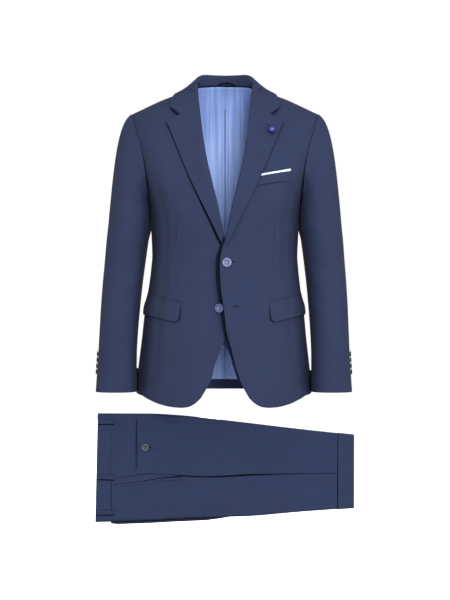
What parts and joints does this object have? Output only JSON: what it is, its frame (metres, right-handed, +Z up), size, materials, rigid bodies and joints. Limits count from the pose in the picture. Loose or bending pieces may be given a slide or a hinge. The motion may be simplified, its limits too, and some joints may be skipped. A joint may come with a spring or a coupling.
{
  "type": "two-piece suit",
  "caption": "Single-breasted navy suit: a notch-lapel jacket held hollow as worn, with its pleatless trousers folded flat and laid sideways below the hem.",
  "frame": {"origin": "on the jacket's middle plane, where the wearer's neck and shoulders hold it, level with the foot of the collar and midway from front to back", "axes": "+Z up, along the suit's height; the jacket faces -Y; +X is the wearer's left"},
  "size_m": [0.6066, 0.2672, 1.062],
  "materials": {
    "jacket_wool": "fine wool twill, matt",
    "trouser_wool": "fine wool twill, matt, pressed",
    "lining_satin": "light blue satin, soft gloss",
    "pearl_buttons": "blue-grey, pearly, polished",
    "dark_buttons": "dark navy, satin gloss",
    "white_cotton": "plain white cotton, pressed",
    "blue_enamel": "glossy blue enamel"
  },
  "bodies": {
    "root": {"back_left": "jacket_wool", "back_pocket_button_left": "dark_buttons", "back_pocket_button_right": "dark_buttons", "back_pocket_jets_left": "trouser_wool", "back_pocket_jets_right": "trouser_wool", "back_right": "jacket_wool", "belt_loop_left_1": "trouser_wool", "belt_loop_left_2": "trouser_wool", "belt_loop_left_3": "trouser_wool", "belt_loop_right_1": "trouser_wool", "belt_loop_right_2": "trouser_wool", "belt_loop_right_3": "trouser_wool", "breast_welt": "jacket_wool", "collar": "jacket_wool", "cuff_button_left_1": "dark_buttons", "cuff_button_left_2": "dark_buttons", "cuff_button_left_3": "dark_buttons", "cuff_button_left_4": "dark_buttons", "cuff_button_right_1": "dark_buttons", "cuff_button_right_2": "dark_buttons", "cuff_button_right_3": "dark_buttons", "cuff_button_right_4": "dark_buttons", "flap_left": "jacket_wool", "flap_right": "jacket_wool", "front_button_lower": "pearl_buttons", "front_button_upper": "pearl_buttons", "front_left": "jacket_wool", "front_pocket_edge_left": "trouser_wool", "front_pocket_edge_right": "trouser_wool", "front_right": "jacket_wool", "hanger_loop": "jacket_wool", "inner_layers": "trouser_wool", "lapel_left": "jacket_wool", "lapel_pin": "blue_enamel", "lapel_right": "jacket_wool", "leg_back_left": "trouser_wool", "leg_back_right": "trouser_wool", "leg_front_left": "trouser_wool", "leg_front_right": "trouser_wool", "lining_left": "lining_satin", "lining_right": "lining_satin", "pocket_square": "white_cotton", "side_left": "jacket_wool", "side_right": "jacket_wool", "top_sleeve_left": "jacket_wool", "top_sleeve_right": "jacket_wool", "turn_up_left": "trouser_wool", "turn_up_right": "trouser_wool", "under_sleeve_left": "jacket_wool", "under_sleeve_right": "jacket_wool", "waistband": "trouser_wool"}
  },
  "joints": []
}
